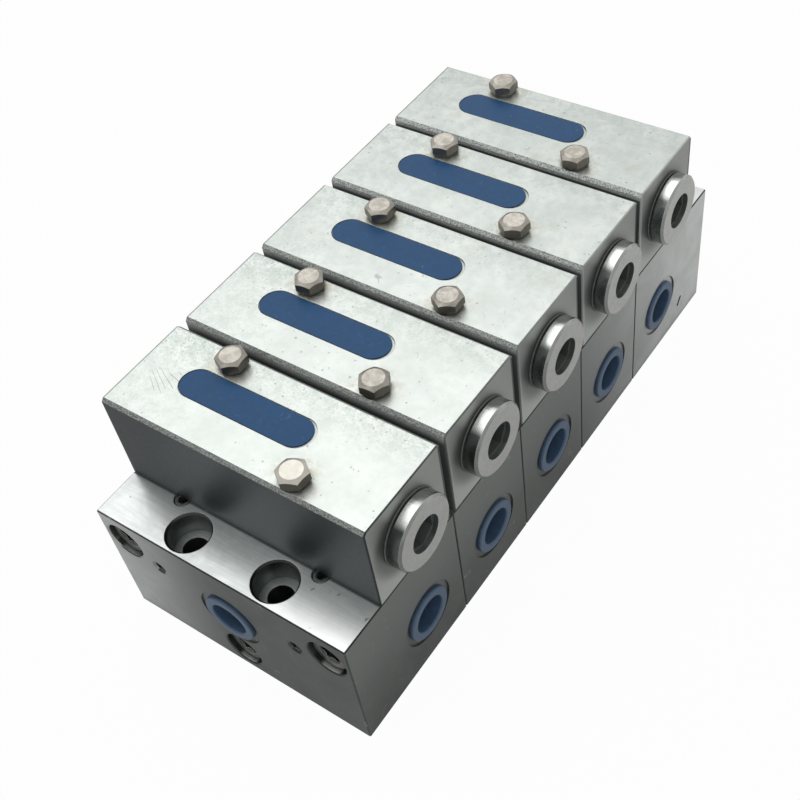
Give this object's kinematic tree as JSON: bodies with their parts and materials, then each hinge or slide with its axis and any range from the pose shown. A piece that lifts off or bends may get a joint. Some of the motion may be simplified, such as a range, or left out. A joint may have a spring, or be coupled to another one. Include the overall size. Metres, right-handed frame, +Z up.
{
  "type": "lubricant divider block",
  "caption": "Progressive metering valves bolted side by side on a sectional steel manifold, each with a sliding piston, a hexagon end plug and capped outlet ports.",
  "frame": {"origin": "centre of the base's lower face, which bolts or rests on the machine", "axes": "+X along the valves towards their end plugs, +Y along the row from the inlet face to the plain end, +Z up"},
  "size_m": [0.0819, 0.1754, 0.0719],
  "materials": {
    "section_steel": "ground and bright zinc plated",
    "valve_steel": "zinc plated, mottled on top",
    "piston_steel": "hardened and lapped",
    "plug_steel": "turned, bright",
    "bolt_steel": "zinc plated, slightly tarnished",
    "washer_steel": "dark spring steel",
    "screw_steel": "zinc plated, dulled",
    "seal_rubber": "smooth",
    "cap_plastic": "moulded polythene",
    "badge_enamel": "blue enamel, satin"
  },
  "bodies": {
    "manifold": {"badge_1": "badge_enamel", "badge_2": "badge_enamel", "badge_3": "badge_enamel", "badge_4": "badge_enamel", "badge_5": "badge_enamel", "block_seals_1": "seal_rubber", "block_seals_2": "seal_rubber", "block_seals_3": "seal_rubber", "block_seals_4": "seal_rubber", "end_block": "section_steel", "end_plug_1": "plug_steel", "end_plug_2": "plug_steel", "end_plug_3": "plug_steel", "end_plug_4": "plug_steel", "end_plug_5": "plug_steel", "end_plug_seal_1": "seal_rubber", "end_plug_seal_2": "seal_rubber", "end_plug_seal_3": "seal_rubber", "end_plug_seal_4": "seal_rubber", "end_plug_seal_5": "seal_rubber", "inlet_block": "section_steel", "inlet_cap": "cap_plastic", "ledge_screws": "screw_steel", "lock_washers_1": "washer_steel", "lock_washers_2": "washer_steel", "lock_washers_3": "washer_steel", "lock_washers_4": "washer_steel", "lock_washers_5": "washer_steel", "middle_block_1": "section_steel", "middle_block_2": "section_steel", "middle_block_3": "section_steel", "outlet_caps_1": "cap_plastic", "outlet_caps_2": "cap_plastic", "outlet_caps_3": "cap_plastic", "outlet_caps_4": "cap_plastic", "outlet_caps_5": "cap_plastic", "passage_screws": "screw_steel", "tie_screws": "screw_steel", "valve_body_1": "valve_steel", "valve_body_2": "valve_steel", "valve_body_3": "valve_steel", "valve_body_4": "valve_steel", "valve_body_5": "valve_steel", "valve_bolts_1": "bolt_steel", "valve_bolts_2": "bolt_steel", "valve_bolts_3": "bolt_steel", "valve_bolts_4": "bolt_steel", "valve_bolts_5": "bolt_steel", "valve_seals_1": "seal_rubber", "valve_seals_2": "seal_rubber", "valve_seals_3": "seal_rubber", "valve_seals_4": "seal_rubber", "valve_seals_5": "seal_rubber"},
    "piston_1": {"piston_1": "piston_steel"},
    "piston_2": {"piston_2": "piston_steel"},
    "piston_3": {"piston_3": "piston_steel"},
    "piston_4": {"piston_4": "piston_steel"},
    "piston_5": {"piston_5": "piston_steel"}
  },
  "joints": [
    {"name": "piston_1_slide", "type": "slide", "parent": "manifold", "child": "piston_1", "axis": [1, 0, 0], "range_m": [-0.0032, 0.0032]},
    {"name": "piston_2_slide", "type": "slide", "parent": "manifold", "child": "piston_2", "axis": [1, 0, 0], "range_m": [-0.0032, 0.0032]},
    {"name": "piston_3_slide", "type": "slide", "parent": "manifold", "child": "piston_3", "axis": [1, 0, 0], "range_m": [-0.0032, 0.0032]},
    {"name": "piston_4_slide", "type": "slide", "parent": "manifold", "child": "piston_4", "axis": [1, 0, 0], "range_m": [-0.0032, 0.0032]},
    {"name": "piston_5_slide", "type": "slide", "parent": "manifold", "child": "piston_5", "axis": [1, 0, 0], "range_m": [-0.0032, 0.0032]}
  ]
}
